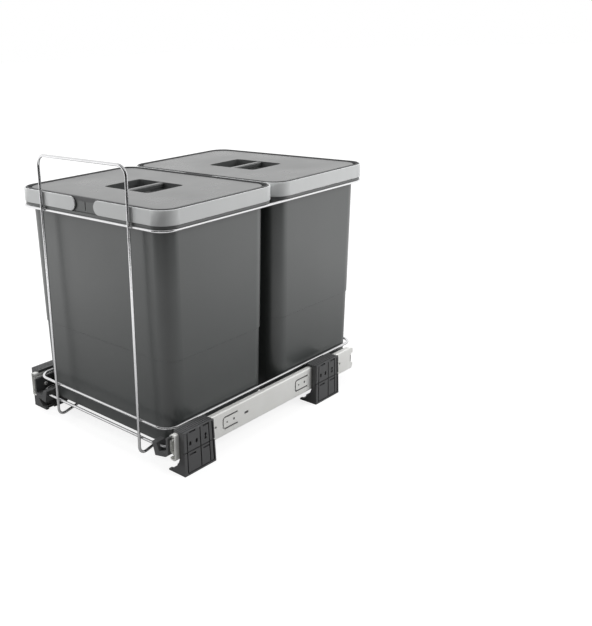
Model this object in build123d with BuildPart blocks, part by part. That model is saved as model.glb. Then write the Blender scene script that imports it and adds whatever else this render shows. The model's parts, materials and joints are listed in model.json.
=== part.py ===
from build123d import *
import os

# Pull-out frame for a 450 mm kitchen cabinet: a chrome wire basket with two waste bins
# on a pair of full-extension ball slides, held on the cabinet floor by four brackets.
# +X is to the right seen from the front, +Y is to the rear and +Z is up.
# The origin is on the cabinet floor, under the middle of the whole frame.

# Overall sizes
overall_depth = 544.4
overall_width = 412.0
wire = 5.0
overrun = 1.0

# Brackets on the cabinet floor
bracket_height = 78.7
bracket_top_length = 69.5
bracket_foot_length = 74.0
bracket_pitch = 353.5
bracket_setback = 9.7
bracket_cap_reach = 22.5
foot_reach = 37.3
foot_curve = 45.0
toe_length = 9.0
toe_root = 4.6
toe_tip = 3.0
toe_notch_width = 13.0
toe_notch_depth = 4.5
groove_width = 2.2
edge_groove_width = 3.4
groove_depth = 2.6
groove_places_shares = [0.10, 0.53, 0.82, 0.94]
mid_groove_height = 42.0
low_groove_height = 3.8
panel_slot_length = 14.5
panel_slot_height = 3.3
panel_slot_depth = 3.0
rib_groove_count = 4
rib_groove_width = 1.4
rib_groove_depth = 1.2
rivet_hole_radius = 2.5
rivet_hole_height = 8.4
rivet_head_radius = 2.4
rivet_head = 1.4
rivet_shank_radius = 1.6
rivet_rise = 4.4
rivet_places = [13.8, 28.4]
keyhole_place = 49.5
keyhole_radius = 2.6
keyhole_pitch = 6.8
keyhole_neck = 2.4
floor_screw_radius = 2.2
floor_screw_head_radius = 4.0
floor_screw_seat = 2.4
floor_screw_inset = 27.5
floor_screw_pitch = 44.0

# Ball slides
slide_length = 500.0
slide_height = 45.5
slide_thickness = 12.7
slide_setback = 4.5
slide_centre_height = 51.4
bracket_wall = 11.6
sheet = 1.2
sheet_bend = 1.8
outer_ball_radius = 2.6
inner_ball_radius = 2.0
ball_clearance = 0.05
outer_ball_inset = 7.2
lip_overlap = 0.5
middle_setback = 6.0
middle_length = 474.0
middle_web_inset = 3.35
inner_setback = 1.5
inner_length = 498.0
slide_travel = 480.0
cage_sheet = 0.7
cage_bend = 1.0
cage_margin = 4.0
outer_cage_inset = 1.7
inner_cage_inset = 4.95
cage_ball_offset = 0.9
cage_edge_gap = 0.4
balls_per_row = 8
web_corner = 7.0
flange_setback = 11.0
lance_length = 37.0
lance_height = 21.0
lance_slit = 3.0
lance_bend = 5.0
lance_places = [115.0, 314.0]
lance_hole_places = [10.0, 27.5]
lance_hole_radii = [1.7, 2.3]
oblong_place = 175.0
oblong_length = 11.0
oblong_width = 4.6
web_hole_places = [96.5, 456.0]
web_hole_radius = 2.2
end_notch_height = 20.0
end_notch_depth = 5.5
end_notch_corner = 2.0
end_slit_height = 14.0
end_slit_width = 1.8
end_slit_inset = 2.2
buffer_height = 30.0

# Wire basket
ring_tuck = 4.2
ring_height = 400.3
base_ring_height = 74.4
bottom_ring_height = 42.2
ring_corner = 24.0
hoop_width = 222.6
hoop_height = 496.5
hoop_lean = 4.5
hoop_corner = 17.0
hoop_foot_height = 10.3
hoop_foot_bend = 12.0
hoop_foot_climb = 63.0
hoop_foot_climb_bend = 40.0
rear_corner = 12.0
floor_drop = 13.0
cross_wire_pitch = 120.0
cross_wire_bend = 8.0

# Carriers between the slides and the basket
carrier_fit = 0.5
carrier_wire_fit = 0.4
carrier_plate = 4.5
carrier_plate_length = 62.0
carrier_plate_top = 66.0
carrier_hook_length = 20.0
carrier_lip = 4.0
carrier_strap_rise = 7.6
carrier_strap_width = 10.0
carrier_strap_slope = 6.6
carrier_cradle_depth = 16.2
carrier_cradle_thickness = 10.5
carrier_cradle_width = 37.5
carrier_cradle_rise = 5.0
carrier_rear_setback = 7.0
carrier_screw_places = [22.0, 50.0]
carrier_screw_radius = 1.8
carrier_screw_head_radius = 3.6
carrier_screw_head = 1.8
carrier_screw_length = 8.0
screw_fit = 0.1

# Bins, lids and carrying bands
bin_side_gap = 2.2
bin_rear_setback = 1.38
bin_gap = 1.6
hoop_gap = 0.3
seat_gap = 0.3
bin_wall = 2.0
bin_floor = 2.6
bin_corner = 28.0
bin_step_height = 184.0
bin_foot_round = 6.0
inset_at_rim = 12.0
inset_above_step = 14.3
inset_below_step = 15.2
inset_at_floor = 17.0
rim_wall = 1.8
rim_height = 23.2
band_thickness = 2.6
band_height = 24.0
band_corner = 32.0
band_fit = 0.8
band_end_gap = 48.0
ledge_height = 4.6
ledge_inset = 1.2
pin_radius = 4.0
pin_fit = 0.08
pin_reach = 2.3
rim_slot_width = 1.6
rim_slot_height = 15.0
rim_slot_depth = 2.2
lid_fit = 1.8
lid_plate = 2.0
lid_panel_rise = 3.2
lid_border = 5.7
lid_round = 1.2
lid_lip_depth = 10.0
lid_lip_wall = 1.6
lid_lip_fit = 0.8
recess_width = 113.0
recess_length = 86.0
recess_depth = 19.0
recess_corner = 8.0
recess_wall = 2.0
grip_width = 11.0
grip_depth = 9.0
grip_drop = 0.8
grip_round = 2.5

# Places worked out from the sizes above
front_face = -overall_depth / 2
rear_face = overall_depth / 2
wire_radius = wire / 2
hoop_y = front_face + wire_radius
ring_rear = rear_face - wire_radius
base_ring_rear = ring_rear - 2 * wire
cross_wire_height = bottom_ring_height - floor_drop
floor_wire_height = cross_wire_height - wire
slide_front = front_face + slide_setback
slide_face = overall_width / 2 - bracket_wall
slide_top = slide_centre_height + slide_height / 2
slide_bottom = slide_centre_height - slide_height / 2
slide_inner_face = slide_face - slide_thickness
base_ring_width = 2 * (slide_inner_face - carrier_plate - carrier_fit - wire_radius)
bin_width = base_ring_width - wire - 2 * bin_side_gap + 2 * inset_at_floor
ring_width = bin_width - 2 * ring_tuck
rivet_seat = bracket_wall / 3
rivet_z = slide_centre_height + rivet_rise
bin_bottom = cross_wire_height + wire_radius + seat_gap
rim_bottom = ring_height + wire_radius + seat_gap
rim_top = rim_bottom + rim_height
band_bottom = rim_bottom + ledge_height + seat_gap
band_top = band_bottom + band_height
rim_inset = band_thickness + band_fit
pin_x = band_end_gap / 2 + band_height / 2
pin_z = band_bottom + band_height / 2
lid_bottom = rim_top + seat_gap
lid_top = lid_bottom + lid_plate + lid_panel_rise
outer_ball_rise = slide_height / 2 - sheet - ball_clearance - outer_ball_radius
middle_half_height = outer_ball_rise - outer_ball_radius - ball_clearance
inner_ball_rise = middle_half_height - sheet - ball_clearance - inner_ball_radius
inner_half_height = inner_ball_rise - inner_ball_radius - ball_clearance
outer_lip = outer_ball_radius + ball_clearance + sheet / 2
inner_lip = inner_ball_radius + ball_clearance + sheet / 2
inner_ball_inset = slide_thickness - sheet / 2 - inner_lip
middle_front = slide_front + middle_setback
middle_rear = middle_front + middle_length
inner_front = slide_front + inner_setback
inner_rear = inner_front + inner_length
sides = {"left": -1, "right": 1}
ends = {"front": slide_front + bracket_setback, "rear": slide_front + bracket_setback + bracket_pitch}


def hoop_place(height):
    """Where the centre line of the leaning front hoop stands at a height."""
    return hoop_y + hoop_lean * (height - hoop_foot_height) / (hoop_height - wire_radius - hoop_foot_height)


bin_front = hoop_place(hoop_height) + wire_radius + hoop_gap
bin_depth = (rear_face - bin_rear_setback - bin_front - bin_gap) / 2
bin_centres = {
    "front": bin_front + bin_depth / 2,
    "rear": bin_front + bin_depth / 2 + bin_depth + bin_gap,
}
carrier_ends = {
    "front": (hoop_place(bottom_ring_height) + wire_radius - carrier_lip, 1),
    "rear": (inner_rear - carrier_rear_setback, -1),
}
carrier_screw_ys = [
    start + way * place for start, way in carrier_ends.values() for place in carrier_screw_places
]

os.makedirs("parts", exist_ok=True)


def write(part, name):
    """Label a finished piece and write it under its own name."""
    part.label = name
    export_step(part, f"parts/{name}.step")


def write_mirrored_pair(part, name):
    """Write the right-hand piece and its left-hand mirror image."""
    write(part, f"right_{name}")
    with BuildPart() as left:
        mirror(part, about=Plane.YZ)
    write(left.part, f"left_{name}")


# Brackets
def bracket(front):
    """One right-hand bracket: a grooved plate with a cap over the slide and a pointed foot."""
    outer = overall_width / 2
    toe = outer - foot_reach
    screw_x = outer - floor_screw_inset
    mid = front + bracket_top_length / 2
    screw_ys = [mid - floor_screw_pitch / 2, mid + floor_screw_pitch / 2]
    with BuildPart() as made:
        with BuildSketch(Plane.XZ.offset(-front - bracket_foot_length)):
            with BuildLine():
                Polyline(
                    (toe, 0),
                    (outer, 0),
                    (outer, bracket_height),
                    (outer - bracket_cap_reach, bracket_height),
                    (outer - bracket_cap_reach, slide_top),
                    (slide_face, slide_top),
                    (slide_face, slide_bottom),
                )
                RadiusArc((slide_face, slide_bottom), (toe + toe_length, toe_root), foot_curve)
                Polyline((toe + toe_length, toe_root), (toe, toe_tip), (toe, 0))
            make_face()
        extrude(amount=bracket_foot_length)
        with BuildSketch(Plane.YZ):
            with BuildLine():
                Polyline(
                    (front, 0),
                    (front + bracket_foot_length, 0),
                    (front + bracket_top_length, bracket_height),
                    (front, bracket_height),
                    close=True,
                )
            make_face()
        extrude(amount=overall_width, mode=Mode.INTERSECT)
        # the toe has a notch in front of each screw
        with BuildSketch(Plane.XY):
            with Locations(*[(toe, y) for y in screw_ys]):
                Rectangle(2 * toe_notch_depth, toe_notch_width)
        extrude(amount=toe_root, mode=Mode.SUBTRACT)
        # the grid of grooves on the outer face
        uprights = [
            (
                (front + bracket_top_length * share, bracket_height - groove_width),
                (front + bracket_foot_length * share, low_groove_height),
            )
            for share in groove_places_shares
        ]
        grooves = [(ends, groove_width) for ends in uprights[:-1]]
        grooves.append((uprights[-1], edge_groove_width))
        grooves.append(((uprights[0][1], uprights[-1][1]), groove_width))
        mid_groove = [(front, mid_groove_height), (front + bracket_foot_length, mid_groove_height)]
        grooves.append((mid_groove, groove_width))
        with BuildSketch(Plane.YZ.offset(outer - groove_depth)):
            for (start, stop), width in grooves:
                with BuildLine() as groove:
                    Line(start, stop)
                trace(groove.line, line_width=width)
        extrude(amount=groove_depth + overrun, mode=Mode.SUBTRACT)
        # a short slot in the upper front corner of each panel
        with BuildSketch(Plane.YZ.offset(outer - panel_slot_depth)):
            for share in groove_places_shares[:2]:
                panel_start = front + bracket_foot_length * share + 2 * groove_width
                for slot_top in (bracket_height - groove_width / 2, mid_groove_height - 2 * groove_width):
                    with Locations((panel_start, slot_top)):
                        Rectangle(panel_slot_length, panel_slot_height, align=(Align.MIN, Align.MAX))
        extrude(amount=panel_slot_depth + overrun, mode=Mode.SUBTRACT)
        # the ribbed top
        with BuildSketch(Plane.XY.offset(bracket_height - rib_groove_depth)):
            pitch = bracket_cap_reach / (rib_groove_count + 1)
            with Locations((outer - bracket_cap_reach / 2, mid)):
                with GridLocations(pitch, bracket_foot_length, rib_groove_count, 1):
                    Rectangle(rib_groove_width, bracket_foot_length + 2 * overrun)
        extrude(amount=rib_groove_depth + overrun, mode=Mode.SUBTRACT)
        # rivet holes, which are oblong from the rivet heads outwards
        for place in rivet_places:
            spot = Plane.YZ.offset(slide_face)
            with BuildSketch(spot):
                with Locations((front + place, rivet_z)):
                    Circle(rivet_shank_radius + screw_fit)
            extrude(amount=bracket_wall, mode=Mode.SUBTRACT)
            with BuildSketch(spot.offset(rivet_seat)):
                with Locations((front + place, rivet_z)):
                    SlotOverall(rivet_hole_height, 2 * rivet_hole_radius, rotation=90)
            extrude(amount=bracket_wall, mode=Mode.SUBTRACT)
        # the keyhole
        with BuildSketch(Plane.YZ.offset(outer - panel_slot_depth)):
            with Locations((front + keyhole_place, rivet_z)):
                Rectangle(keyhole_neck, keyhole_pitch)
                with GridLocations(keyhole_pitch, keyhole_pitch, 1, 2):
                    Circle(keyhole_radius)
        extrude(amount=panel_slot_depth + overrun, mode=Mode.SUBTRACT)
        # two floor screw holes in the foot, with a flat seat for each head
        with Locations(*[(screw_x, y, floor_screw_seat) for y in screw_ys]):
            CounterBoreHole(floor_screw_radius, floor_screw_head_radius, 0, depth=slide_bottom)
    return made.part


for end, front in ends.items():
    write_mirrored_pair(bracket(front), f"{end}_bracket")


def slide_rivets():
    """The rivets that hold the outer slide members on the brackets, as one group."""
    with BuildPart() as made:
        for side in sides.values():
            face = side * slide_face
            for front in ends.values():
                for place in rivet_places:
                    with BuildSketch(Plane.YZ.offset(face - side * sheet)):
                        with Locations((front + place, rivet_z)):
                            Circle(rivet_shank_radius)
                    extrude(amount=side * (sheet + rivet_seat))
                    with BuildSketch(Plane.YZ.offset(face + side * rivet_seat)):
                        with Locations((front + place, rivet_z)):
                            Circle(rivet_head_radius)
                    extrude(amount=side * rivet_head)
    return made.part


write(slide_rivets(), "slide_rivets")


# Ball slides. Insets run inwards from the outer face of a slide, and rises run up and
# down from its centre line.
def channel(web_inset, lip_inset, half_height, lip_rise, radii, thickness, start, length):
    """A folded sheet channel: its web, two flanges and a lip at the end of each flange."""
    web_x = slide_face - web_inset
    lip_x = slide_face - lip_inset
    half_middle = half_height - thickness / 2
    lip_bend, web_bend = radii
    with BuildPart() as made:
        with BuildSketch(Plane.XZ.offset(-start - length)):
            with BuildLine() as centre_line:
                FilletPolyline(
                    (lip_x, slide_centre_height + lip_rise),
                    (lip_x, slide_centre_height + half_middle),
                    (web_x, slide_centre_height + half_middle),
                    (web_x, slide_centre_height - half_middle),
                    (lip_x, slide_centre_height - half_middle),
                    (lip_x, slide_centre_height - lip_rise),
                    radius=[lip_bend, web_bend, web_bend, lip_bend],
                )
            trace(centre_line.line, line_width=thickness)
        extrude(amount=length)
    return made.part


def outer_slide():
    """The fixed member, with its lanced tongues, rounded rear corners and fixing holes."""
    rear = slide_front + slide_length
    web = Plane.YZ.offset(slide_face - sheet - overrun)
    cut = sheet + 2 * overrun
    section = channel(
        sheet / 2,
        outer_ball_inset + outer_lip,
        slide_height / 2,
        outer_ball_rise - lip_overlap,
        (outer_lip, sheet_bend),
        sheet,
        slide_front,
        slide_length,
    )
    with BuildPart() as made:
        add(section)
        # the flanges stop short of the rear end, where the web has rounded corners
        with BuildSketch(Plane.XY.offset(slide_bottom - overrun)):
            with Locations((slide_face - sheet, rear - flange_setback)):
                Rectangle(slide_thickness, slide_length, align=(Align.MAX, Align.MIN))
        extrude(amount=slide_height + 2 * overrun, mode=Mode.SUBTRACT)
        with BuildSketch(web):
            with Locations((rear - flange_setback, slide_centre_height)):
                Rectangle(2 * flange_setback, 2 * slide_height, align=(Align.MIN, Align.CENTER))
                RectangleRounded(2 * flange_setback, slide_height, web_corner, mode=Mode.SUBTRACT)
        extrude(amount=cut, mode=Mode.SUBTRACT)
        # two lanced tongues, each with a small and a larger hole
        for place in lance_places:
            start = slide_front + place
            with BuildSketch(web):
                with BuildLine() as slit:
                    FilletPolyline(
                        (start + lance_length, slide_centre_height + lance_height / 2),
                        (start, slide_centre_height + lance_height / 2),
                        (start, slide_centre_height - lance_height / 2),
                        (start + lance_length, slide_centre_height - lance_height / 2),
                        radius=lance_bend,
                    )
                trace(slit.line, line_width=lance_slit)
                for hole_place, radius in zip(lance_hole_places, lance_hole_radii):
                    with Locations((start + hole_place, slide_centre_height)):
                        Circle(radius)
            extrude(amount=cut, mode=Mode.SUBTRACT)
        with BuildSketch(web):
            with Locations((slide_front + oblong_place, slide_centre_height)):
                SlotOverall(oblong_length, oblong_width)
            with Locations((rear - end_notch_depth - end_slit_inset, slide_centre_height)):
                SlotOverall(end_slit_height, end_slit_width, rotation=90)
            with Locations((rear, slide_centre_height)):
                RectangleRounded(2 * end_notch_depth, end_notch_height, end_notch_corner)
            with Locations(*[(slide_front + place, slide_centre_height) for place in web_hole_places]):
                Circle(web_hole_radius)
            for front in ends.values():
                with Locations(*[(front + place, rivet_z) for place in rivet_places]):
                    Circle(rivet_shank_radius + screw_fit)
        extrude(amount=cut, mode=Mode.SUBTRACT)
    return made.part


def middle_slide():
    """The middle member, which runs out half as far as the basket."""
    return channel(
        middle_web_inset + sheet / 2,
        inner_ball_inset + inner_lip,
        middle_half_height,
        inner_ball_rise - lip_overlap,
        (inner_lip, sheet_bend),
        sheet,
        middle_front,
        middle_length,
    )


def inner_slide():
    """The inner member, which carries the basket. Its web faces the basket."""
    web_x = slide_inner_face + sheet / 2
    lip_x = slide_face - inner_ball_inset + inner_lip
    half_middle = inner_half_height - sheet / 2
    lip_rise = inner_ball_rise + lip_overlap
    with BuildPart() as made:
        with BuildSketch(Plane.XZ.offset(-inner_front - inner_length)):
            with BuildLine() as centre_line:
                FilletPolyline(
                    (lip_x, slide_centre_height + lip_rise),
                    (lip_x, slide_centre_height + half_middle),
                    (web_x, slide_centre_height + half_middle),
                    (web_x, slide_centre_height - half_middle),
                    (lip_x, slide_centre_height - half_middle),
                    (lip_x, slide_centre_height - lip_rise),
                    radius=[inner_lip, sheet_bend, sheet_bend, inner_lip],
                )
            trace(centre_line.line, line_width=sheet)
        extrude(amount=inner_length)
        with BuildSketch(Plane.YZ.offset(slide_inner_face - overrun)):
            with Locations(*[(y, slide_centre_height) for y in carrier_screw_ys]):
                Circle(carrier_screw_radius + screw_fit)
        extrude(amount=sheet + 2 * overrun, mode=Mode.SUBTRACT)
    return made.part


def cage_and_balls(inset, ball_rise, ball_inset, ball_radius, start, length):
    """A bent strip with a row of balls in each flange, and the balls as a group."""
    lip_radius = ball_radius + ball_clearance
    flange_top = cage_ball_offset + cage_sheet
    reach = ball_inset + (lip_radius**2 - flange_top**2) ** 0.5 - cage_edge_gap
    pitch = length / balls_per_row
    ball_ys = [start + pitch * (number + 1 / 2) for number in range(balls_per_row)]
    ball_x = slide_face - ball_inset
    flange_rise = ball_rise + cage_ball_offset
    web_x = slide_face - inset - cage_sheet / 2
    flange_middle = flange_rise + cage_sheet / 2
    with BuildPart() as cage:
        with BuildSketch(Plane.XZ.offset(-start - length)):
            with BuildLine() as centre_line:
                FilletPolyline(
                    (slide_face - reach, slide_centre_height + flange_middle),
                    (web_x, slide_centre_height + flange_middle),
                    (web_x, slide_centre_height - flange_middle),
                    (slide_face - reach, slide_centre_height - flange_middle),
                    radius=cage_bend,
                )
            trace(centre_line.line, line_width=cage_sheet)
        extrude(amount=length)
        with BuildSketch(Plane.XY.offset(slide_bottom)):
            with Locations(*[(ball_x, y) for y in ball_ys]):
                Circle(ball_radius + ball_clearance)
        extrude(amount=slide_height, mode=Mode.SUBTRACT)
    with BuildPart() as balls:
        for rise in (ball_rise, -ball_rise):
            with Locations(*[(ball_x, y, slide_centre_height + rise) for y in ball_ys]):
                Sphere(ball_radius)
    return cage.part, balls.part


def slide_buffers():
    """The soft stops at the rear of the outer members, which the middle members meet."""
    rear = slide_front + slide_length - end_notch_depth - sheet
    with BuildPart() as made:
        with BuildSketch(Plane.XY.offset(slide_centre_height - buffer_height / 2)):
            for side in sides.values():
                face = side * (slide_face - sheet)
                middle_face = side * (slide_face - middle_web_inset - sheet)
                corners = [(face, rear), (middle_face, rear)]
                corners += [(middle_face, middle_rear + seat_gap), (face, middle_rear + seat_gap)]
                with BuildLine():
                    Polyline(*corners, close=True)
                make_face()
        extrude(amount=buffer_height)
    return made.part


write_mirrored_pair(outer_slide(), "outer_slide")
write_mirrored_pair(middle_slide(), "middle_slide")
write_mirrored_pair(inner_slide(), "inner_slide")
write(slide_buffers(), "slide_buffers")

outer_cage_start = slide_front + slide_travel / 4 + cage_margin
inner_cage_start = middle_front + slide_travel / 4 + cage_margin
outer_cage, outer_balls = cage_and_balls(
    outer_cage_inset,
    outer_ball_rise,
    outer_ball_inset,
    outer_ball_radius,
    outer_cage_start,
    middle_rear - slide_travel / 4 - cage_margin - outer_cage_start,
)
inner_cage, inner_balls = cage_and_balls(
    inner_cage_inset,
    inner_ball_rise,
    inner_ball_inset,
    inner_ball_radius,
    inner_cage_start,
    inner_rear - slide_travel / 4 - cage_margin - inner_cage_start,
)
write_mirrored_pair(outer_cage, "outer_ball_cage")
write_mirrored_pair(outer_balls, "outer_balls")
write_mirrored_pair(inner_cage, "inner_ball_cage")
write_mirrored_pair(inner_balls, "inner_balls")


# Wire basket
def bent_wire(points, radii, closed=False, radius=wire_radius):
    """Round wire along straight runs that are joined by bends."""
    with BuildPart() as made:
        with BuildLine() as path:
            FilletPolyline(*points, radius=radii, close=closed)
        with BuildSketch(Plane(origin=path.line @ 0, z_dir=path.line % 0)):
            Circle(radius)
        sweep()
    return made.part


def ring(width, rear, height, radius=wire_radius):
    """A closed wire ring with rounded corners, whose front wire lies behind the hoop."""
    half = width / 2
    front = hoop_place(height) + wire
    corners = [(half, front, height), (half, rear, height), (-half, rear, height), (-half, front, height)]
    return bent_wire(corners, ring_corner, closed=True, radius=radius)


def front_hoop():
    """The pull hoop. Its legs turn back under the basket, run on as floor wires and end at the ring."""
    half = hoop_width / 2
    top = hoop_height - wire_radius
    side = [
        (half, base_ring_rear, bottom_ring_height - wire_radius),
        (half, base_ring_rear, floor_wire_height),
        (half, hoop_y + hoop_foot_climb, floor_wire_height),
        (half, hoop_y, hoop_foot_height),
        (half, hoop_place(top), top),
    ]
    bends = [rear_corner, hoop_foot_climb_bend, hoop_foot_bend, hoop_corner]
    other_side = [(-x, y, z) for x, y, z in reversed(side)]
    return bent_wire(side + other_side, bends + bends[::-1])


def rear_hoop():
    """The rear uprights, joined by a bar inside the upper ring."""
    half = hoop_width / 2
    y = base_ring_rear + wire
    low = bottom_ring_height - wire_radius
    points = [(half, y, low), (half, y, ring_height), (-half, y, ring_height), (-half, y, low)]
    return bent_wire(points, rear_corner)


def floor_cross_wires():
    """The wires that the bins stand on, hung under the bottom ring, as one group."""
    half = base_ring_width / 2
    ends_z = bottom_ring_height - wire_radius
    places = [centre + way * cross_wire_pitch / 2 for centre in bin_centres.values() for way in (-1, 1)]
    section = [(half, ends_z), (half, cross_wire_height), (-half, cross_wire_height), (-half, ends_z)]
    wires = [bent_wire([(x, y, z) for x, z in section], cross_wire_bend) for y in places]
    with BuildPart() as made:
        add(wires)
    return made.part


write(ring(ring_width, ring_rear, ring_height), "upper_ring")
write(ring(base_ring_width, base_ring_rear, base_ring_height), "lower_ring")
write(ring(base_ring_width, base_ring_rear, bottom_ring_height), "bottom_ring")
write(front_hoop(), "front_hoop")
write(rear_hoop(), "rear_hoop")
write(floor_cross_wires(), "floor_cross_wires")


# Carriers
def carrier(end):
    """A right-hand carrier: a plate on the inner slide member, and a strap or a shelf for the ring."""
    start, way = carrier_ends[end]
    plate_x = slide_inner_face - carrier_plate
    strap_x = slide_inner_face - carrier_cradle_width
    strap_top = bottom_ring_height + carrier_strap_rise
    shelf_x = base_ring_width / 2 - wire_radius
    cradle_bottom = bottom_ring_height - carrier_cradle_depth
    wire_bottom = bottom_ring_height - wire_radius - carrier_fit
    tunnel = ring(base_ring_width, base_ring_rear, bottom_ring_height, wire_radius + carrier_wire_fit)
    outline = [
        (slide_inner_face - carrier_strap_slope, cradle_bottom + carrier_cradle_rise),
        (slide_inner_face, cradle_bottom + carrier_cradle_rise + carrier_strap_slope),
        (slide_inner_face, carrier_plate_top),
        (plate_x, carrier_plate_top),
        (plate_x, wire_bottom),
    ]
    if end == "front":
        inner_x = strap_x + carrier_strap_width
        outline.append((inner_x + carrier_strap_slope, cradle_bottom + carrier_cradle_thickness))
        outline += [(inner_x, strap_top), (strap_x, strap_top)]
        outline.append((strap_x + carrier_strap_slope, cradle_bottom))
    else:
        outline += [(shelf_x, wire_bottom), (shelf_x, wire_bottom - carrier_lip)]
    with BuildPart() as made:
        with BuildSketch(Plane.XZ.offset(-start)):
            with BuildLine():
                Polyline(*outline, close=True)
            make_face()
        extrude(amount=-way * carrier_hook_length)
        with BuildSketch(Plane.XZ.offset(-start)):
            with Locations((plate_x, wire_bottom)):
                Rectangle(carrier_plate, carrier_plate_top - wire_bottom, align=(Align.MIN, Align.MIN))
        extrude(amount=-way * carrier_plate_length)
        add(tunnel, mode=Mode.SUBTRACT)
        with BuildSketch(Plane.YZ.offset(plate_x - overrun)):
            with Locations(*[(y, slide_centre_height) for y in carrier_screw_ys]):
                Circle(carrier_screw_radius + screw_fit)
        extrude(amount=slide_thickness, mode=Mode.SUBTRACT)
    return made.part


def carrier_screws():
    """The screws that hold the carriers on the inner slide members, as one group."""
    plate_x = slide_inner_face - carrier_plate
    places = [(y, slide_centre_height) for y in carrier_screw_ys]
    with BuildPart() as made:
        for side in sides.values():
            with BuildSketch(Plane.YZ.offset(side * plate_x)):
                with Locations(*places):
                    Circle(carrier_screw_head_radius)
            extrude(amount=-side * carrier_screw_head)
            with BuildSketch(Plane.YZ.offset(side * plate_x)):
                with Locations(*places):
                    Circle(carrier_screw_radius)
            extrude(amount=side * carrier_screw_length)
    return made.part


for end in ends:
    write_mirrored_pair(carrier(end), f"{end}_carrier")
write(carrier_screws(), "carrier_screws")


# Bins, lids and carrying bands
def rounded_block(centre, bottom, top, inset, upper_inset=None):
    """A block with the bins' outline, drawn in by an inset that may change with height."""
    with BuildPart() as made:
        for height, drawn_in in ((bottom, inset), (top, inset if upper_inset is None else upper_inset)):
            corner = max(band_corner - drawn_in, bin_corner)
            with BuildSketch(Plane.XY.offset(height)):
                with Locations((0, centre)):
                    RectangleRounded(bin_width - 2 * drawn_in, bin_depth - 2 * drawn_in, corner)
        loft(ruled=True)
    return made.part


def bin_shell(centre):
    """One bin: a tapered body with a fine step, and a hollow rim that hangs over the ring."""
    rim = rounded_block(centre, rim_bottom, rim_top, rim_inset)
    ledge = rounded_block(centre, rim_bottom, rim_bottom + ledge_height, ledge_inset)
    rim_hollow = rounded_block(centre, rim_bottom, rim_top - rim_wall, rim_inset + rim_wall)
    lower_body = rounded_block(centre, bin_bottom, bin_step_height, inset_at_floor, inset_below_step)
    upper_body = rounded_block(centre, bin_step_height, rim_top, inset_above_step, inset_at_rim)
    inner_step = bin_step_height - bin_wall
    lower_space = rounded_block(
        centre, bin_bottom + bin_floor, inner_step, inset_at_floor + bin_wall, inset_below_step + bin_wall
    )
    upper_space = rounded_block(
        centre, inner_step, rim_top, inset_below_step + bin_wall, inset_at_rim + bin_wall
    )
    with BuildPart() as made:
        add([rim, ledge])
        add(rim_hollow, mode=Mode.SUBTRACT)
        add([lower_body, upper_body])
        fillet(made.edges().group_by(Axis.Z)[0], bin_foot_round)
        add([lower_space, upper_space], mode=Mode.SUBTRACT)
        # holes for the pins of the bands, front and rear
        for way in (-1, 1):
            with BuildSketch(Plane.XZ.offset(way * bin_depth / 2 - centre)):
                with Locations((-pin_x, pin_z), (pin_x, pin_z)):
                    Circle(pin_radius + pin_fit)
            extrude(amount=-way * inset_at_rim, mode=Mode.SUBTRACT)
        # a short vertical slot in the middle of the front and rear rim
        rim_offset = bin_depth / 2 - rim_inset
        with BuildSketch(Plane.XY.offset(rim_top - rim_slot_height)):
            with Locations((0, centre - rim_offset), (0, centre + rim_offset)):
                Rectangle(rim_slot_width, 2 * rim_slot_depth)
        extrude(amount=rim_slot_height + overrun, mode=Mode.SUBTRACT)
    return made.part


def lid(centre):
    """One lid: a bordered panel with a recess and a grip bar, and a lip inside the bin."""
    edge = rim_inset + lid_fit
    lip_inset = inset_at_rim + bin_wall + lid_lip_fit
    lip_bottom = lid_bottom - lid_lip_depth
    pocket_bottom = lid_top - recess_depth - recess_wall
    lip = rounded_block(centre, lip_bottom, lid_bottom, lip_inset)
    lip_space = rounded_block(centre, lip_bottom, lid_bottom, lip_inset + lid_lip_wall)
    plate = rounded_block(centre, lid_bottom, lid_bottom + lid_plate, edge)
    panel = rounded_block(centre, lid_bottom + lid_plate, lid_top, edge + lid_border)
    with BuildPart() as made:
        add(lip)
        add(lip_space, mode=Mode.SUBTRACT)
        add([plate, panel])
        fillet(made.edges().group_by(Axis.Z)[-1], lid_round)
        with BuildSketch(Plane.XY.offset(pocket_bottom)):
            with Locations((0, centre)):
                RectangleRounded(
                    recess_width + 2 * recess_wall,
                    recess_length + 2 * recess_wall,
                    recess_corner + recess_wall,
                )
        extrude(amount=lid_bottom - pocket_bottom)
        with BuildSketch(Plane.XY.offset(lid_top - recess_depth)):
            with Locations((0, centre)):
                RectangleRounded(recess_width, recess_length, recess_corner)
        extrude(amount=recess_depth + overrun, mode=Mode.SUBTRACT)
        with BuildSketch(Plane.XZ.offset(-centre - recess_length / 2 - recess_wall / 2)):
            with Locations((0, lid_top - grip_drop - grip_depth / 2)):
                RectangleRounded(grip_width, grip_depth, grip_round)
        extrude(amount=recess_length + recess_wall)
    return made.part


def band(centre, side):
    """One carrying band: a flat strip round half of the rim, with a pin at each end."""
    outside = rounded_block(centre, band_bottom, band_top, 0)
    inside = rounded_block(centre, band_bottom, band_top, band_thickness)
    pin_start = bin_depth / 2 - band_thickness
    outwards = Align.MIN if side > 0 else Align.MAX
    with BuildPart() as made:
        add(outside)
        add(inside, mode=Mode.SUBTRACT)
        with BuildSketch(Plane.XZ.offset(-centre - bin_depth)):
            with Locations((side * pin_x, pin_z)):
                Circle(band_height / 2)
                Rectangle(bin_width, band_height, align=(outwards, Align.CENTER))
        extrude(amount=2 * bin_depth, mode=Mode.INTERSECT)
        for way in (-1, 1):
            with BuildSketch(Plane.XZ.offset(way * pin_start - centre)):
                with Locations((side * pin_x, pin_z)):
                    Circle(pin_radius)
            extrude(amount=-way * pin_reach)
    return made.part


for end, centre in bin_centres.items():
    write(bin_shell(centre), f"{end}_bin")
    write(lid(centre), f"{end}_lid")
    for side_name, side in sides.items():
        write(band(centre, side), f"{end}_bin_{side_name}_band")
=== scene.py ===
import json
import math

import bpy
from mathutils import Matrix, Vector


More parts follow.
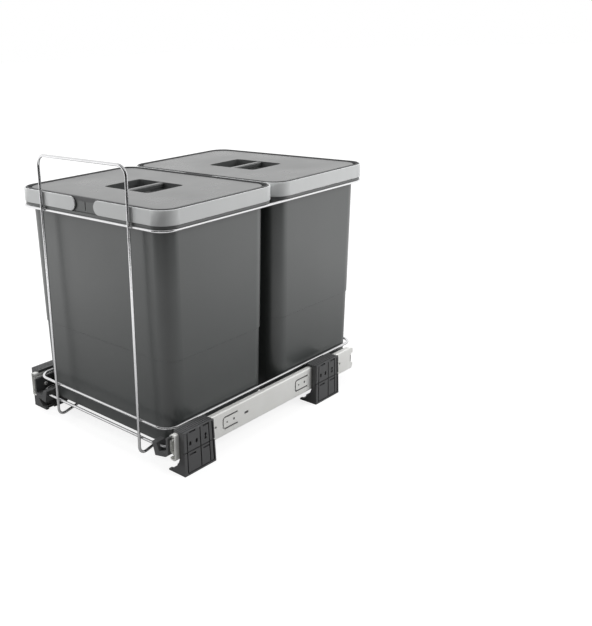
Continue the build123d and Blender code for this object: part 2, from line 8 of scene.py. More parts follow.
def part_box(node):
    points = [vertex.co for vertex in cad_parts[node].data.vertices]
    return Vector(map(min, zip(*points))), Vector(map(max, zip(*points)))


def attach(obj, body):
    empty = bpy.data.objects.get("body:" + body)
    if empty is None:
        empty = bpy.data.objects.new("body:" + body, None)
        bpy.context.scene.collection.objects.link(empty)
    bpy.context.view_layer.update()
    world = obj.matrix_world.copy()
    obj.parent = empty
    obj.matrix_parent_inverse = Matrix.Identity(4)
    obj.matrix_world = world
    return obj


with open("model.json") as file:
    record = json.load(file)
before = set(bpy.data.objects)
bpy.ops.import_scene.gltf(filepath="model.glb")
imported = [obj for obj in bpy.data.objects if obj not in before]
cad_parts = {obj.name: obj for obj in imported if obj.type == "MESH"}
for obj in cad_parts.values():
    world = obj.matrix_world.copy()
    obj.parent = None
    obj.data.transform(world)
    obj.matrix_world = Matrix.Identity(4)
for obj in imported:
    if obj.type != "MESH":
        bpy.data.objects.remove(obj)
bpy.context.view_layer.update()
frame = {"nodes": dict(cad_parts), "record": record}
nodes = frame["nodes"]
hands = ("left", "right")
ends = ("front", "rear")
sides = {"left": -1, "right": 1}

# Lengths are in metres and angles in degrees, except where a name says otherwise.
millimetre = 0.001

# The camera stands where the photograph was taken: its aim, its place round it and its lens in pixels.
photo_width = 592
photo_height = 626
camera_aim = (0.0, -0.09525, 0.2)
camera_distance = 1.4818
camera_azimuth = 46.69
camera_elevation = 18.85
camera_roll = -2.57
focal_pixels = 806.93
optical_axis_pixel = (163.63, 308.37)
sensor_side = 36.0

# The floor brightens between two distances from the middle, one pair for the lens and one for mirrors. In
# mirrors the near floor is dimmed as painted shade, for the object's shadow around it.
floor_size = 40.0
floor_colour = (0.24, 0.24, 0.24)
floor_fade = (0.7, 2.4)
near_floor_glow = 0.84
mirror_fade = (0.35, 1.25)
floor_shade_in_mirrors = 0.14

# Mirrors see a sky that darkens between two heights of view, and the object gets a weak even light.
sky_fade = (0.5, 0.85)
sky_top = 0.5
world_light = 0.22

# The lamps: name, place, size and power. All of them point at one spot.
lamp_aim = (0, 0, 0.4)
lamps = [
    ("left_front_lamp", (-1.6, -1.4, 1.4), (1.4, 1.2), 38),
    ("right_rear_lamp", (1.6, 1.2, 1.4), (1.4, 1.2), 38),
    ("top_lamp", (-0.2, -0.1, 2.2), (1.4, 1.4), 26),
]

# The black cards: name and direction from the object, counted from the front towards the right.
flag_distance = 1.5
flag_width = 1.3
flag_height = 1.7
flag_colour = (0.012, 0.012, 0.012)
flags = [("front_flag", -8), ("camera_flag", 40), ("right_flag", 84)]


def photo_camera():
    """The camera, with its lens and its shift worked out from the photograph's frame."""
    data = bpy.data.cameras.new("photo_camera")
    data.sensor_width = sensor_side
    data.lens = focal_pixels * sensor_side / photo_height
    data.shift_x = (photo_width / 2 - optical_axis_pixel[0]) / photo_height
    data.shift_y = (optical_axis_pixel[1] - photo_height / 2) / photo_height
    camera = bpy.data.objects.new("photo_camera", data)
    bpy.context.scene.collection.objects.link(camera)
    turn = (
        Matrix.Rotation(math.radians(camera_azimuth), 4, "Z")
        @ Matrix.Rotation(math.radians(90 - camera_elevation), 4, "X")
        @ Matrix.Rotation(math.radians(camera_roll), 4, "Z")
    )
    back = turn.to_3x3() @ Vector((0, 0, 1))
    camera.matrix_world = Matrix.Translation(Vector(camera_aim) + back * camera_distance) @ turn
    bpy.context.scene.camera = camera


photo_camera()
bpy.context.scene.view_settings.view_transform = "Standard"


# Node helpers
def effect_group(name, inputs, outputs):
    """An empty effect group with named sockets, given as (name, type, default)."""
    tree = bpy.data.node_groups.new(name, "ShaderNodeTree")
    for label, kind, default in inputs:
        socket = tree.interface.new_socket(label, in_out="INPUT", socket_type=kind)
        if default is not None:
            socket.default_value = default
    for label, kind in outputs:
        tree.interface.new_socket(label, in_out="OUTPUT", socket_type=kind)
    return tree, tree.nodes.new("NodeGroupInput"), tree.nodes.new("NodeGroupOutput")


def feed(tree, value, socket):
    """Links a socket to another socket, or sets it to a plain value."""
    if isinstance(value, bpy.types.NodeSocket):
        tree.links.new(value, socket)
    else:
        socket.default_value = value


def math_node(tree, operation, *values):
    """A math node whose inputs are numbers or other nodes' sockets."""
    node = tree.nodes.new("ShaderNodeMath")
    node.operation = operation
    for socket, value in zip(node.inputs, values):
        feed(tree, value, socket)
    return node.outputs[0]


def noise_node(tree, vector, scale, detail=2.0, roughness=0.5):
    """A noise texture read at a vector."""
    node = tree.nodes.new("ShaderNodeTexNoise")
    node.inputs["Detail"].default_value = detail
    node.inputs["Roughness"].default_value = roughness
    feed(tree, vector, node.inputs["Vector"])
    feed(tree, scale, node.inputs["Scale"])
    return node.outputs["Fac"]


def ramp_node(tree, value, low, high, out_low=0.0, out_high=1.0):
    """Maps a value from one range onto another and clamps it there."""
    node = tree.nodes.new("ShaderNodeMapRange")
    for label, given in zip(
        ("Value", "From Min", "From Max", "To Min", "To Max"), (value, low, high, out_low, out_high)
    ):
        feed(tree, given, node.inputs[label])
    return node.outputs["Result"]


def colour_mix(tree, share, first, second):
    """Mixes two colours, each a tuple or a socket."""
    node = tree.nodes.new("ShaderNodeMix")
    node.data_type = "RGBA"
    feed(tree, share, node.inputs["Factor"])
    for label, colour in (("A", first), ("B", second)):
        given = colour if isinstance(colour, bpy.types.NodeSocket) else (*colour, 1)
        colours = [socket for socket in node.inputs if socket.name == label and socket.type == "RGBA"]
        feed(tree, given, colours[0])
    return [socket for socket in node.outputs if socket.type == "RGBA"][0]


# Effects that several materials share. Each pair is the range of a value that its mask spreads out.
soft_patches = (0.3, 0.7)
broad_bands = (0.35, 0.65)
edge_bend = (0.999, 0.9)
edge_breaks = (0.4, 0.6)
least_edge = 0.25
facing_up = (0.4, 0.95)
dust_clouds = (0.35, 0.75)
seam_shelter = (0.75, 0.35)
least_seam = 0.85
shader_samples = {"edges": 4, "seams": 8}


def moulded_grain_group():
    """Spark-eroded plastic: a fine pebble grain, and slow patches of tone."""
    tree, given, made = effect_group(
        "moulded grain",
        [
            ("Vector", "NodeSocketVector", None),
            ("Grains per metre", "NodeSocketFloat", 1400.0),
            ("Patches per metre", "NodeSocketFloat", 9.0),
        ],
        [("Height", "NodeSocketFloat"), ("Patches", "NodeSocketFloat")],
    )
    vector = given.outputs["Vector"]
    grain = noise_node(tree, vector, given.outputs["Grains per metre"], detail=1.0)
    patches = noise_node(tree, vector, given.outputs["Patches per metre"], detail=3.0)
    tree.links.new(grain, made.inputs["Height"])
    tree.links.new(ramp_node(tree, patches, *soft_patches), made.inputs["Patches"])
    return tree


def drawn_lines_group():
    """Fine lines that run one way, as on rolled or drawn metal and on a wall pulled from a mould."""
    tree, given, made = effect_group(
        "drawn lines",
        [
            ("Vector", "NodeSocketVector", None),
            ("Stretch", "NodeSocketVector", (1.0, 0.02, 1.0)),
            ("Lines per metre", "NodeSocketFloat", 900.0),
        ],
        [("Height", "NodeSocketFloat"), ("Bands", "NodeSocketFloat")],
    )
    node = tree.nodes.new("ShaderNodeVectorMath")
    node.operation = "MULTIPLY"
    tree.links.new(given.outputs["Vector"], node.inputs[0])
    tree.links.new(given.outputs["Stretch"], node.inputs[1])
    lines = given.outputs["Lines per metre"]
    fine = noise_node(tree, node.outputs[0], lines, detail=3.0, roughness=0.6)
    broad = noise_node(tree, node.outputs[0], math_node(tree, "MULTIPLY", lines, 0.12), detail=2.0)
    tree.links.new(fine, made.inputs["Height"])
    tree.links.new(ramp_node(tree, broad, *broad_bands), made.inputs["Bands"])
    return tree


def rubbed_and_lit_edges_group():
    """A mask of the outer edges, where handling has polished and paled the surface, and where the plastics
    also paint an edge highlight.
    """
    tree, given, made = effect_group(
        "rubbed and lit edges",
        [
            ("Vector", "NodeSocketVector", None),
            ("Reach", "NodeSocketFloat", 0.8 * millimetre),
            ("Breaks per metre", "NodeSocketFloat", 120.0),
        ],
        [("Mask", "NodeSocketFloat"), ("Normal", "NodeSocketVector")],
    )
    rounded = tree.nodes.new("ShaderNodeBevel")
    rounded.samples = shader_samples["edges"]
    tree.links.new(given.outputs["Reach"], rounded.inputs["Radius"])
    geometry = tree.nodes.new("ShaderNodeNewGeometry")
    dot = tree.nodes.new("ShaderNodeVectorMath")
    dot.operation = "DOT_PRODUCT"
    tree.links.new(rounded.outputs["Normal"], dot.inputs[0])
    tree.links.new(geometry.outputs["Normal"], dot.inputs[1])
    bend = ramp_node(tree, dot.outputs["Value"], *edge_bend)
    breaks = noise_node(tree, given.outputs["Vector"], given.outputs["Breaks per metre"], detail=3.0)
    broken = ramp_node(tree, breaks, *edge_breaks, least_edge, 1.0)
    tree.links.new(math_node(tree, "MULTIPLY", bend, broken), made.inputs["Mask"])
    tree.links.new(rounded.outputs["Normal"], made.inputs["Normal"])
    return tree


def settled_dust_group():
    """A thin veil of dust on what faces up, in loose clouds."""
    tree, given, made = effect_group(
        "settled dust",
        [("Vector", "NodeSocketVector", None), ("Amount", "NodeSocketFloat", 0.2)],
        [("Mask", "NodeSocketFloat")],
    )
    geometry = tree.nodes.new("ShaderNodeNewGeometry")
    parts = tree.nodes.new("ShaderNodeSeparateXYZ")
    tree.links.new(geometry.outputs["Normal"], parts.inputs["Vector"])
    upward = ramp_node(tree, parts.outputs["Z"], *facing_up)
    clouds = ramp_node(tree, noise_node(tree, given.outputs["Vector"], 26.0, detail=5.0), *dust_clouds)
    veil = math_node(tree, "MULTIPLY", upward, clouds)
    tree.links.new(math_node(tree, "MULTIPLY", veil, given.outputs["Amount"]), made.inputs["Mask"])
    return tree


def shaded_seams_group():
    """A mask of narrow seams and slots, where little light comes in; the materials darken their colour there
    as painted shade.
    """
    tree, given, made = effect_group(
        "shaded seams",
        [("Vector", "NodeSocketVector", None), ("Reach", "NodeSocketFloat", 5 * millimetre)],
        [("Mask", "NodeSocketFloat")],
    )
    shelter = tree.nodes.new("ShaderNodeAmbientOcclusion")
    shelter.samples = shader_samples["seams"]
    tree.links.new(given.outputs["Reach"], shelter.inputs["Distance"])
    depth = ramp_node(tree, shelter.outputs["AO"], *seam_shelter)
    clouds = noise_node(tree, given.outputs["Vector"], 60.0, detail=3.0)
    patches = ramp_node(tree, clouds, *soft_patches, least_seam, 1.0)
    tree.links.new(math_node(tree, "MULTIPLY", depth, patches), made.inputs["Mask"])
    return tree


moulded_grain = moulded_grain_group()
drawn_lines = drawn_lines_group()
rubbed_and_lit_edges = rubbed_and_lit_edges_group()
settled_dust = settled_dust_group()
shaded_seams = shaded_seams_group()


# Materials. Each one is a Principled shader fed by the effects above.
plastic_edge_reach = 0.8 * millimetre
plastic_seam_reach = 5 * millimetre
plastic_grain_height = 0.06 * millimetre
metal_edge_reach = 0.3 * millimetre
metal_seam_reach = 3 * millimetre
metal_line_height = 0.02 * millimetre
dust_colour = (0.55, 0.54, 0.52)
# How much lighter the edges are made, as wear and as a painted highlight.
rubbed_and_lit_tone = 1.9
edge_polish = 0.12
uneven_gloss = 0.04
band_share = 0.25
band_tone = 1.12
line_tone = 0.8
wall_stretch = (1.0, 1.0, 0.03)
wall_lines = 260.0
metal_patches = 22.0
# How dark the painted shade in seams and slots makes a colour.
seam_shade_tone = 0.1


def new_material(name, base_color, roughness, metallic=0.0, **plain):
    """A Principled material whose plain values stand on the shader's own sockets."""
    material = bpy.data.materials.new(name)
    material.use_nodes = True
    shader = material.node_tree.nodes["Principled BSDF"]
    shader.inputs["Base Color"].default_value = (*base_color, 1)
    shader.inputs["Roughness"].default_value = roughness
    shader.inputs["Metallic"].default_value = metallic
    for label, value in plain.items():
        shader.inputs[label.replace("_", " ")].default_value = value
    return material


def place_group(tree, group, **values):
    """Places an effect group in a material, reading Object coordinates."""
    node = tree.nodes.new("ShaderNodeGroup")
    node.node_tree = group
    place = tree.nodes.new("ShaderNodeTexCoord")
    tree.links.new(place.outputs["Object"], node.inputs["Vector"])
    for label, value in values.items():
        node.inputs[label.replace("_", " ")].default_value = value
    return node.outputs


def bump_node(tree, height, strength, distance, normal):
    """A bump of a given height in metres, over another normal."""
    node = tree.nodes.new("ShaderNodeBump")
    node.inputs["Strength"].default_value = strength
    node.inputs["Distance"].default_value = distance
    tree.links.new(height, node.inputs["Height"])
    tree.links.new(normal, node.inputs["Normal"])
    return node.outputs["Normal"]


def scaled(colour, factor):
    """A colour made lighter or darker."""
    return tuple(min(channel * factor, 1.0) for channel in colour)


def moulded_plastic(name, colour, roughness, grain, tone, edge, dust, seam, sheen=0.5):
    """Grained plastic with uneven tone, polished edges that are paled as wear and as a painted highlight,
    painted shade in its seams and a little dust.

    The grain is a pair, its grains per metre and its strength.
    """
    material = new_material(name, colour, roughness, Specular_IOR_Level=sheen)
    tree = material.node_tree
    shader = tree.nodes["Principled BSDF"]
    surface = place_group(tree, moulded_grain, Grains_per_metre=grain[0])
    walls = place_group(tree, drawn_lines, Stretch=wall_stretch, Lines_per_metre=wall_lines)
    edges = place_group(tree, rubbed_and_lit_edges, Reach=plastic_edge_reach)
    veil = place_group(tree, settled_dust, Amount=dust)
    patchy = colour_mix(tree, surface["Patches"], scaled(colour, 1 - tone), scaled(colour, 1 + tone))
    bands = math_node(tree, "MULTIPLY", walls["Bands"], band_share)
    drawn = colour_mix(tree, bands, patchy, scaled(colour, band_tone))
    # Wear and painted highlight: the edges pale towards a lighter copy of the colour.
    rubbed = colour_mix(
        tree, math_node(tree, "MULTIPLY", edges["Mask"], edge), drawn, scaled(colour, rubbed_and_lit_tone)
    )
    dusty = colour_mix(tree, veil["Mask"], rubbed, dust_colour)
    # Painted shade: the colour darkens in seams and slots where the occlusion mask finds little open sky.
    seams = place_group(tree, shaded_seams, Reach=plastic_seam_reach)
    depth = math_node(tree, "MULTIPLY", seams["Mask"], seam)
    shaded = colour_mix(tree, depth, dusty, scaled(colour, seam_shade_tone))
    tree.links.new(shaded, shader.inputs["Base Color"])
    worn = math_node(tree, "MULTIPLY", edges["Mask"], -edge_polish)
    uneven = ramp_node(tree, surface["Patches"], 0.0, 1.0, roughness - uneven_gloss, roughness + uneven_gloss)
    tree.links.new(math_node(tree, "ADD", uneven, worn), shader.inputs["Roughness"])
    grained = bump_node(tree, surface["Height"], grain[1], plastic_grain_height, edges["Normal"])
    tree.links.new(grained, shader.inputs["Normal"])
    return material


def bright_metal(name, colour, roughness, stretch, lines, line_strength, tone, haze, seam, metallic=1.0):
    """Plated metal: drawn lines under the plate, cloudy haze, painted shade in its seams and slightly rubbed
    edges.
    """
    material = new_material(name, colour, roughness, metallic)
    tree = material.node_tree
    shader = tree.nodes["Principled BSDF"]
    drawn = place_group(tree, drawn_lines, Stretch=stretch, Lines_per_metre=lines)
    clouds = place_group(tree, moulded_grain, Patches_per_metre=metal_patches)
    edges = place_group(tree, rubbed_and_lit_edges, Reach=metal_edge_reach)
    toned = colour_mix(tree, clouds["Patches"], scaled(colour, 1 - tone), scaled(colour, 1 + tone))
    bands = math_node(tree, "MULTIPLY", drawn["Bands"], tone)
    lined = colour_mix(tree, bands, toned, scaled(colour, line_tone))
    # Painted shade: the metal's colour darkens in seams and slots where the occlusion mask finds little open
    # sky.
    seams = place_group(tree, shaded_seams, Reach=metal_seam_reach)
    depth = math_node(tree, "MULTIPLY", seams["Mask"], seam)
    shaded = colour_mix(tree, depth, lined, scaled(colour, seam_shade_tone))
    tree.links.new(shaded, shader.inputs["Base Color"])
    hazy = ramp_node(tree, clouds["Patches"], 0.0, 1.0, roughness, roughness + haze)
    lined_haze = math_node(tree, "MULTIPLY", drawn["Bands"], haze)
    tree.links.new(math_node(tree, "ADD", hazy, lined_haze), shader.inputs["Roughness"])
    tree.links.new(
        bump_node(tree, drawn["Height"], line_strength, metal_line_height, edges["Normal"]),
        shader.inputs["Normal"],
    )
    return material


bright_chrome = bright_metal(
    "bright chrome",
    (0.82, 0.82, 0.83),
    roughness=0.15,
    stretch=(1.0, 1.0, 1.0),
    lines=700.0,
    line_strength=0.06,
    tone=0.04,
    haze=0.05,
    seam=0.3,
)
zinc_plate = bright_metal(
    "zinc plate",
    (0.97, 0.97, 0.94),
    roughness=0.42,
    stretch=(1.0, 0.02, 1.0),
    lines=1500.0,
    line_strength=0.35,
    tone=0.04,
    haze=0.06,
    seam=0.9,
    metallic=0.25,
)
ball_steel = bright_metal(
    "ball steel",
    (0.75, 0.75, 0.75),
    roughness=0.08,
    stretch=(1.0, 1.0, 1.0),
    lines=900.0,
    line_strength=0.1,
    tone=0.03,
    haze=0.04,
    seam=0.3,
)
black_plastic = moulded_plastic(
    "black plastic",
    (0.092, 0.093, 0.095),
    roughness=0.45,
    grain=(1100.0, 0.35),
    tone=0.08,
    edge=0.5,
    dust=0.02,
    seam=0.6,
)
bin_plastic = moulded_plastic(
    "bin plastic",
    (0.060, 0.065, 0.064),
    roughness=0.34,
    grain=(1500.0, 0.18),
    tone=0.05,
    edge=0.35,
    dust=0.02,
    seam=0.6,
    sheen=0.95,
)
lid_plastic = moulded_plastic(
    "lid plastic",
    (0.062, 0.064, 0.064),
    roughness=0.29,
    grain=(1300.0, 0.05),
    tone=0.03,
    edge=0.0,
    dust=0.03,
    seam=0.6,
    sheen=1.0,
)
band_plastic = moulded_plastic(
    "band plastic",
    (0.63, 0.64, 0.64),
    roughness=0.40,
    grain=(1400.0, 0.15),
    tone=0.03,
    edge=0.15,
    dust=0.04,
    seam=0.9,
)
buffer_rubber = moulded_plastic(
    "buffer rubber",
    (0.025, 0.025, 0.026),
    roughness=0.8,
    grain=(700.0, 0.5),
    tone=0.1,
    edge=0.1,
    dust=0.05,
    seam=0.5,
)
slot_materials = {
    "chrome_wire": bright_chrome,
    "zinc_steel": zinc_plate,
    "ball_steel": ball_steel,
    "black_plastic": black_plastic,
    "bin_plastic": bin_plastic,
    "lid_plastic": lid_plastic,
    "band_plastic": band_plastic,
    "buffer_rubber": buffer_rubber,
}
node_slots = {part["node"]: part["material_slot"] for part in frame["record"]["subparts"]}


def finish_material(piece, material):
    """Gives a piece one material."""
    piece.data.materials.clear()
    piece.data.materials.append(material)


for node, piece in nodes.items():
    finish_material(piece, slot_materials[node_slots[node]])


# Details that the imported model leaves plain
def lone(piece):
    """Selects one piece and nothing else."""
    bpy.ops.object.select_all(action="DESELECT")
    piece.select_set(True)
    bpy.context.view_layer.objects.active = piece
    return piece


def finished_pattern(name, material, smooth_angle=35):
    """Names the piece that was modelled last, settles its shape and shades its curves smooth."""
    piece = lone(bpy.context.object)
    piece.name = name
    bpy.ops.object.transform_apply(location=True, rotation=True, scale=True)
    bpy.ops.object.shade_smooth_by_angle(angle=math.radians(smooth_angle))
    finish_material(piece, material)
    return piece


def set_copies(pattern, body, places):
    """Puts a copy of a modelled piece, each with its own mesh, at every place, and drops the pattern."""
    for number, place in enumerate(places):
        mesh = pattern.data.copy()
        mesh.transform(place if isinstance(place, Matrix) else Matrix.Translation(place))
        piece = bpy.data.objects.new(f"{pattern.name}_{body}_{number}", mesh)
        bpy.context.scene.collection.objects.link(piece)
        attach(piece, body)
    bpy.data.objects.remove(pattern)


def middle(node):
    """The centre of a node's box at rest."""
    low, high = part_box(node)
    return (Vector(low) + Vector(high)) / 2


def flattened_bead(name, size, material):
    """A rounded blob with three half-axes."""
    bpy.ops.mesh.primitive_uv_sphere_add(segments=20, ring_count=12, radius=1, scale=size)
    return finished_pattern(name, material)


def block(name, size, material, round_by=0.0):
    """A box centred on the origin, with softened edges if asked."""
    bpy.ops.mesh.primitive_cube_add(size=1, scale=size)
    if round_by:
        bpy.ops.object.transform_apply(location=True, rotation=True, scale=True)
        bpy.ops.object.mode_set(mode="EDIT")
        bpy.ops.mesh.select_all(action="SELECT")
        bpy.ops.mesh.bevel(offset=round_by, segments=2)
        bpy.ops.object.mode_set(mode="OBJECT")
    return finished_pattern(name, material)


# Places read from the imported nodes, and sizes of the small details
wire_radius = 2.5 * millimetre
wire = 2 * wire_radius
leg_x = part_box("front_hoop")[1][0] - wire_radius
ring_z = {name: middle(name).z for name in ("upper_ring", "lower_ring", "bottom_ring")}
ring_front = {name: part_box(name)[0][1] for name in ring_z}
base_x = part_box("bottom_ring")[1][0] - wire_radius
rear_wire_y = middle("rear_hoop").y
cross_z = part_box("floor_cross_wires")[0][2] + wire_radius
cross_half_pitch = 60 * millimetre
cross_places = [middle(f"{end}_bin").y + way * cross_half_pitch for end in ends for way in (-1, 1)]
bead_reach = 2.7 * millimetre
bead_rise = 1.5 * millimetre
upper_weld_share = 0.7
screw_length = 8 * millimetre
screw_head = 1.8 * millimetre
screw_places = (22 * millimetre, 50 * millimetre)
rivet_places = (13.8 * millimetre, 28.4 * millimetre)
web_shares = (-0.72, -0.36, 0.36, 0.72)
lid_height = 5.2 * millimetre
lip_margin = 23 * millimetre
rib_reach_x = 66 * millimetre
rib_reach_y = 52 * millimetre


def weld_beads():
    """Small spot welds where the wires of the basket cross, plated over like the wires."""
    across = (bead_reach, bead_rise, bead_reach)
    spots = [(side * leg_x, ring_front[name], z) for side in sides.values() for name, z in ring_z.items()]
    for side in sides.values():
        for name in ("lower_ring", "bottom_ring"):
            spots.append((side * leg_x, rear_wire_y - wire_radius, ring_z[name]))
        spots.append((side * leg_x * upper_weld_share, rear_wire_y + wire_radius, ring_z["upper_ring"]))
    set_copies(flattened_bead("weld_bead", across, bright_chrome), "basket", spots)
    flat = (bead_reach, bead_reach, bead_rise)
    spots = [(side * leg_x, y, cross_z - wire_radius) for side in sides.values() for y in cross_places]
    under_ring = ring_z["bottom_ring"] - wire_radius
    spots += [(side * base_x, y, under_ring) for side in sides.values() for y in cross_places]
    spots += [(side * leg_x, rear_wire_y - wire, under_ring) for side in sides.values()]
    set_copies(flattened_bead("floor_weld", flat, bright_chrome), "basket", spots)


def rivet_domes():
    """The formed heads of the rivets, seen in the oblong holes of the brackets."""
    radius = 2.2 * millimetre
    rise = 0.8 * millimetre
    dome = flattened_bead("rivet_dome", (rise, radius, radius), zinc_plate)
    low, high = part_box("slide_rivets")
    height = middle("slide_rivets").z
    spots = []
    for hand in hands:
        face = high[0] if hand == "right" else low[0]
        for end in ends:
            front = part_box(f"{hand}_{end}_bracket")[0][1]
            spots += [(face, front + place, height) for place in rivet_places]
    set_copies(dome, "cabinet_side", spots)


def screw_caps():
    """Rounded screw heads with a cross recess, on the carriers' plain screw heads."""
    radius = 3.3 * millimetre
    flatness = 0.35
    slot_level = 0.3 * radius
    slot_size = (1.1 * radius, 0.26 * radius, 0.36 * radius)
    bpy.ops.mesh.primitive_uv_sphere_add(segments=32, ring_count=16, radius=radius)
    head = bpy.context.object
    bpy.ops.object.mode_set(mode="EDIT")
    bpy.ops.mesh.select_all(action="SELECT")
    bpy.ops.mesh.bisect(plane_co=(0, 0, 0), plane_no=(0, 0, 1), clear_inner=True, use_fill=True)
    bpy.ops.object.mode_set(mode="OBJECT")
    head.scale = (1, 1, flatness)
    bpy.ops.object.transform_apply(location=True, rotation=True, scale=True)
    for turn in (0, 90):
        bpy.ops.mesh.primitive_cube_add(
            size=1,
            location=(0, 0, slot_level),
            rotation=(0, 0, math.radians(turn)),
            scale=slot_size,
        )
        cutter = bpy.context.object
        lone(head)
        cut = head.modifiers.new("recess", "BOOLEAN")
        cut.object = cutter
        cut.operation = "DIFFERENCE"
        bpy.ops.object.modifier_apply(modifier=cut.name)
        bpy.data.objects.remove(cutter)
    lone(head)
    head = finished_pattern("screw_cap", zinc_plate)
    height = middle("carrier_screws").z
    screw_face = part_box("carrier_screws")[1][0] - screw_length - screw_head
    places = []
    for hand, side in sides.items():
        turn = Matrix.Rotation(math.radians(-90 * side), 4, "Y")
        for end, way in (("front", 1), ("rear", -1)):
            low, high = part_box(f"{hand}_{end}_carrier")
            start = low[1] if way > 0 else high[1]
            for place in screw_places:
                spot = Vector((side * screw_face, start + way * place, height))
                places.append(Matrix.Translation(spot) @ turn)
    set_copies(head, "basket", places)


def rim_webs():
    """Thin webs that stiffen the hollow rim of each bin, seen from below and behind."""
    thickness = 1.4 * millimetre
    reach = 7.2 * millimetre
    inset = 3.9 * millimetre
    height = 17 * millimetre
    under_top = 2 * millimetre
    softened = 0.2 * millimetre
    for end in ends:
        body = f"{end}_bin"
        low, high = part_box(body)
        level = high[2] - under_top - height / 2
        centre = middle(body)
        half_width = (high[0] - low[0]) / 2 - inset - reach / 2
        half_depth = (high[1] - low[1]) / 2 - inset - reach / 2
        across = block("rim_web_side", (reach, thickness, height), bin_plastic, softened)
        spots = [
            (side * half_width, centre.y + share * half_depth, level)
            for side in sides.values()
            for share in web_shares
        ]
        set_copies(across, body, spots)
        along = block("rim_web_end", (thickness, reach, height), bin_plastic, softened)
        spots = [
            (share * half_width, centre.y + way * half_depth, level)
            for way in (-1, 1)
            for share in web_shares
        ]
        set_copies(along, body, spots)


def rim_lips():
    """A thin lip on each bin's rim, in the seam between the lid and the carrying bands, made of the black
    plastic as painted shade for the shadow in that seam.
    """
    thickness = 1.4 * millimetre
    reach = 1.6 * millimetre
    corner = 28.4 * millimetre
    above_band = 1.2 * millimetre
    sunk = 0.5 * millimetre
    for end in ends:
        low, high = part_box(f"{end}_lid")
        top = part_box(f"{end}_bin_left_band")[1][2] + above_band
        bottom = high[2] - lid_height - sunk
        bpy.ops.object.select_all(action="DESELECT")
        bpy.ops.mesh.primitive_plane_add(size=1, location=(0, middle(f"{end}_lid").y, bottom))
        bpy.context.object.scale = (high[0] - low[0] + 2 * reach, high[1] - low[1] + 2 * reach, 1)
        bpy.ops.object.transform_apply(location=True, rotation=True, scale=True)
        bpy.ops.object.mode_set(mode="EDIT")
        bpy.ops.mesh.select_all(action="SELECT")
        bpy.ops.mesh.bevel(offset=corner, segments=12, affect="VERTICES")
        bpy.ops.mesh.select_all(action="SELECT")
        bpy.ops.mesh.inset(thickness=thickness)
        bpy.ops.mesh.delete(type="FACE")
        bpy.ops.mesh.select_all(action="SELECT")
        bpy.ops.mesh.extrude_region_move(TRANSFORM_OT_translate={"value": (0, 0, top - bottom)})
        bpy.ops.mesh.select_all(action="SELECT")
        bpy.ops.mesh.normals_make_consistent(inside=False)
        bpy.ops.object.mode_set(mode="OBJECT")
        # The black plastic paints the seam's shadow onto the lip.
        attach(finished_pattern(f"rim_lip_{end}_bin", black_plastic), f"{end}_bin")


def lid_ribs():
    """Two long ribs and two cross ribs under each lid, inside its lip."""
    thickness = 1.6 * millimetre
    height = 5 * millimetre
    for end in ends:
        body = f"{end}_lid"
        low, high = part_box(body)
        centre = middle(body)
        level = high[2] - lid_height - height / 2 + thickness / 4
        long_rib = block("lid_rib", (high[0] - low[0] - lip_margin, thickness, height), lid_plastic)
        set_copies(long_rib, body, [(0, centre.y + way * rib_reach_y, level) for way in (-1, 1)])
        cross_rib = block("lid_cross_rib", (thickness, high[1] - low[1] - lip_margin, height), lid_plastic)
        set_copies(cross_rib, body, [(way * rib_reach_x, centre.y, level) for way in (-1, 1)])


weld_beads()
rivet_domes()
screw_caps()
rim_webs()
rim_lips()
lid_ribs()


# Moulded edges are rounded in the mesh itself
weld_reach = 0.001 * millimetre
flat_angle = 0.5


def soften(node, width, angle=40):
    """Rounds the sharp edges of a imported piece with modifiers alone."""
    piece = nodes[node]
    weld = piece.modifiers.new("weld", "WELD")
    weld.merge_threshold = weld_reach
    flat = piece.modifiers.new("flat", "DECIMATE")
    flat.decimate_type = "DISSOLVE"
    flat.angle_limit = math.radians(flat_angle)
    round_edges = piece.modifiers.new("round", "BEVEL")
    round_edges.width = width
    round_edges.segments = 2
    round_edges.limit_method = "ANGLE"
    round_edges.angle_limit = math.radians(angle)
    round_edges.harden_normals = True


for end in ends:
    soften(f"{end}_lid", 0.5 * millimetre)
    for hand in hands:
        soften(f"{hand}_{end}_bracket", 0.3 * millimetre)
        soften(f"{hand}_{end}_carrier", 0.4 * millimetre)
        soften(f"{end}_bin_{hand}_band", 0.5 * millimetre)


# The studio
def floor_material():
    """A pale matt floor that turns white far away, and is dimmed in mirrors close to the object as painted
    shade.
    """
    material = new_material("studio floor", floor_colour, roughness=0.9)
    tree = material.node_tree
    shader = tree.nodes["Principled BSDF"]
    place = tree.nodes.new("ShaderNodeTexCoord")
    length = tree.nodes.new("ShaderNodeVectorMath")
    length.operation = "LENGTH"
    tree.links.new(place.outputs["Object"], length.inputs[0])
    distance = length.outputs["Value"]
    rays = tree.nodes.new("ShaderNodeLightPath")
    seen = math_node(tree, "MAXIMUM", rays.outputs["Is Camera Ray"], rays.outputs["Is Transmission Ray"])
    shown = math_node(tree, "MULTIPLY", seen, ramp_node(tree, distance, *floor_fade, near_floor_glow, 1.0))
    # Painted shade: mirrors see the floor near the object dimmed.
    mirrored = ramp_node(tree, distance, *mirror_fade, floor_shade_in_mirrors, 1.0)
    mirrored = math_node(tree, "MULTIPLY", rays.outputs["Is Glossy Ray"], mirrored)
    shader.inputs["Emission Color"].default_value = (1, 1, 1, 1)
    tree.links.new(math_node(tree, "MAXIMUM", shown, mirrored), shader.inputs["Emission Strength"])
    return material


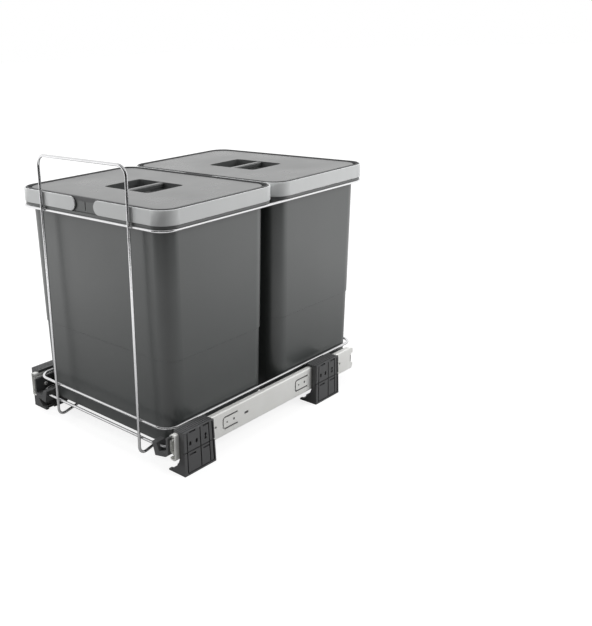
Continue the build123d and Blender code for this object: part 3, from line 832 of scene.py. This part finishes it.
def flag_card(name, azimuth):
    """A tall black card that only mirrors see, as a studio uses to draw dark lines on chrome."""
    bpy.ops.mesh.primitive_plane_add(size=1)
    card = bpy.context.object
    card.name = name
    turn = math.radians(azimuth)
    place = (flag_distance * math.sin(turn), -flag_distance * math.cos(turn), flag_height / 2)
    card.matrix_world = (
        Matrix.Translation(place)
        @ Matrix.Rotation(turn, 4, "Z")
        @ Matrix.Rotation(math.radians(90), 4, "X")
        @ Matrix.Diagonal((flag_width, flag_height, 1, 1))
    )
    finish_material(card, new_material(name, flag_colour, roughness=1.0))
    card.visible_camera = False
    card.visible_diffuse = False
    card.visible_shadow = False
    card.visible_transmission = False


def soft_lamp(name, place, size, power):
    """An area lamp that points at the object and that mirrors don't show."""
    data = bpy.data.lights.new(name, "AREA")
    data.shape = "RECTANGLE"
    data.size, data.size_y = size
    data.energy = power
    lamp = bpy.data.objects.new(name, data)
    lamp.visible_glossy = False
    bpy.context.scene.collection.objects.link(lamp)
    way = Vector(lamp_aim) - Vector(place)
    lamp.matrix_world = Matrix.Translation(place) @ way.to_track_quat("-Z", "Y").to_matrix().to_4x4()


def studio():
    """A pale floor, a world that is white where it is seen, soft lamps and black cards."""
    bpy.ops.mesh.primitive_plane_add(size=floor_size, location=(0, 0, 0))
    floor = bpy.context.object
    floor.name = "studio_floor"
    finish_material(floor, floor_material())
    world = bpy.data.worlds.new("studio")
    world.use_nodes = True
    tree = world.node_tree
    background = tree.nodes["Background"]
    background.inputs["Color"].default_value = (1, 1, 1, 1)
    rays = tree.nodes.new("ShaderNodeLightPath")
    seen = math_node(tree, "MAXIMUM", rays.outputs["Is Camera Ray"], rays.outputs["Is Transmission Ray"])
    place = tree.nodes.new("ShaderNodeTexCoord")
    parts = tree.nodes.new("ShaderNodeSeparateXYZ")
    tree.links.new(place.outputs["Generated"], parts.inputs["Vector"])
    mirrored = ramp_node(tree, parts.outputs["Z"], *sky_fade, 1.0, sky_top)
    mirrored = math_node(tree, "MULTIPLY", mirrored, rays.outputs["Is Glossy Ray"])
    seen = math_node(tree, "MAXIMUM", seen, mirrored)
    tree.links.new(math_node(tree, "MAXIMUM", seen, world_light), background.inputs["Strength"])
    bpy.context.scene.world = world
    for name, place, size, power in lamps:
        soft_lamp(name, place, size, power)
    for name, azimuth in flags:
        flag_card(name, azimuth)


studio()
